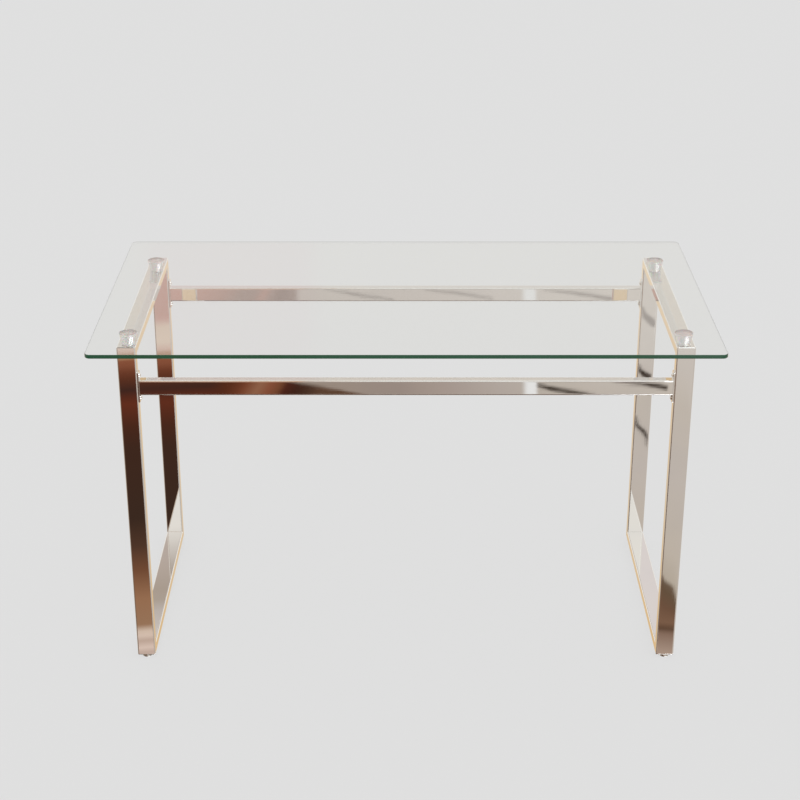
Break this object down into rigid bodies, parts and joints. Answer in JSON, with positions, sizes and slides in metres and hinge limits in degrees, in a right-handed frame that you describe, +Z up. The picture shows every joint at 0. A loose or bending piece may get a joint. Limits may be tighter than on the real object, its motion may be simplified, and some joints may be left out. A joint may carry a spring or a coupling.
{
  "type": "glass-topped manicure table",
  "caption": "Manicure table: clear rectangular glass top on soft pads over two closed chrome tube leg frames, joined by crossbars, on screw-adjusted levelling feet",
  "frame": {"origin": "on the floor, under the middle of the glass top", "axes": "+X along the table's length, to the right of a person sitting at the front; +Y from the front edge to the rear edge; +Z up"},
  "size_m": [1.25, 0.68, 0.75],
  "materials": {
    "clear_glass": "clear toughened float glass, polished edges that look dark green",
    "chrome": "bright polished chrome plate",
    "pad_plastic": "soft moulded PVC, translucent and slightly milky",
    "bright_steel": "nickel-plated turned steel",
    "zinc_steel": "zinc-plated steel"
  },
  "bodies": {
    "table": {"glass_top": "clear_glass", "left_front_post": "chrome", "left_rear_post": "chrome", "left_top_rail": "chrome", "left_bottom_rail": "chrome", "right_front_post": "chrome", "right_rear_post": "chrome", "right_top_rail": "chrome", "right_bottom_rail": "chrome", "front_crossbar": "chrome", "front_crossbar_left_flange": "chrome", "front_crossbar_left_bolts": "chrome", "front_crossbar_left_rivet_nuts": "zinc_steel", "front_crossbar_right_flange": "chrome", "front_crossbar_right_bolts": "chrome", "front_crossbar_right_rivet_nuts": "zinc_steel", "rear_crossbar": "chrome", "rear_crossbar_left_flange": "chrome", "rear_crossbar_left_bolts": "chrome", "rear_crossbar_left_rivet_nuts": "zinc_steel", "rear_crossbar_right_flange": "chrome", "rear_crossbar_right_bolts": "chrome", "rear_crossbar_right_rivet_nuts": "zinc_steel", "front_left_glass_pad": "pad_plastic", "front_left_pad_stud": "zinc_steel", "front_left_pad_rivet_nut": "zinc_steel", "front_left_foot_nut": "zinc_steel", "front_right_glass_pad": "pad_plastic", "front_right_pad_stud": "zinc_steel", "front_right_pad_rivet_nut": "zinc_steel", "front_right_foot_nut": "zinc_steel", "rear_left_glass_pad": "pad_plastic", "rear_left_pad_stud": "zinc_steel", "rear_left_pad_rivet_nut": "zinc_steel", "rear_left_foot_nut": "zinc_steel", "rear_right_glass_pad": "pad_plastic", "rear_right_pad_stud": "zinc_steel", "rear_right_pad_rivet_nut": "zinc_steel", "rear_right_foot_nut": "zinc_steel"},
    "front_left_foot": {"front_left_foot_base": "bright_steel"},
    "front_left_foot_screw": {"front_left_foot_stud": "bright_steel"},
    "front_right_foot": {"front_right_foot_base": "bright_steel"},
    "front_right_foot_screw": {"front_right_foot_stud": "bright_steel"},
    "rear_left_foot": {"rear_left_foot_base": "bright_steel"},
    "rear_left_foot_screw": {"rear_left_foot_stud": "bright_steel"},
    "rear_right_foot": {"rear_right_foot_base": "bright_steel"},
    "rear_right_foot_screw": {"rear_right_foot_stud": "bright_steel"}
  },
  "joints": [
    {"name": "front_left_foot_height", "type": "slide", "parent": "table", "child": "front_left_foot", "axis": [0, 0, -1], "range_m": [0, 0.01]},
    {"name": "front_left_foot_turn", "type": "hinge", "parent": "front_left_foot", "child": "front_left_foot_screw", "pos_m": [-0.56, -0.227, 0], "axis": [0, 0, -1], "range_deg": [0, 2880]},
    {"name": "front_right_foot_height", "type": "slide", "parent": "table", "child": "front_right_foot", "axis": [0, 0, -1], "range_m": [0, 0.01]},
    {"name": "front_right_foot_turn", "type": "hinge", "parent": "front_right_foot", "child": "front_right_foot_screw", "pos_m": [0.56, -0.227, 0], "axis": [0, 0, -1], "range_deg": [0, 2880]},
    {"name": "rear_left_foot_height", "type": "slide", "parent": "table", "child": "rear_left_foot", "axis": [0, 0, -1], "range_m": [0, 0.01]},
    {"name": "rear_left_foot_turn", "type": "hinge", "parent": "rear_left_foot", "child": "rear_left_foot_screw", "pos_m": [-0.56, 0.293, 0], "axis": [0, 0, -1], "range_deg": [0, 2880]},
    {"name": "rear_right_foot_height", "type": "slide", "parent": "table", "child": "rear_right_foot", "axis": [0, 0, -1], "range_m": [0, 0.01]},
    {"name": "rear_right_foot_turn", "type": "hinge", "parent": "rear_right_foot", "child": "rear_right_foot_screw", "pos_m": [0.56, 0.293, 0], "axis": [0, 0, -1], "range_deg": [0, 2880]}
  ],
  "couplings": [
    {"joint": "front_left_foot_turn", "follows": "front_left_foot_height", "rad_per_m": 5026.5},
    {"joint": "front_right_foot_turn", "follows": "front_right_foot_height", "rad_per_m": 5026.5},
    {"joint": "rear_left_foot_turn", "follows": "rear_left_foot_height", "rad_per_m": 5026.5},
    {"joint": "rear_right_foot_turn", "follows": "rear_right_foot_height", "rad_per_m": 5026.5}
  ]
}
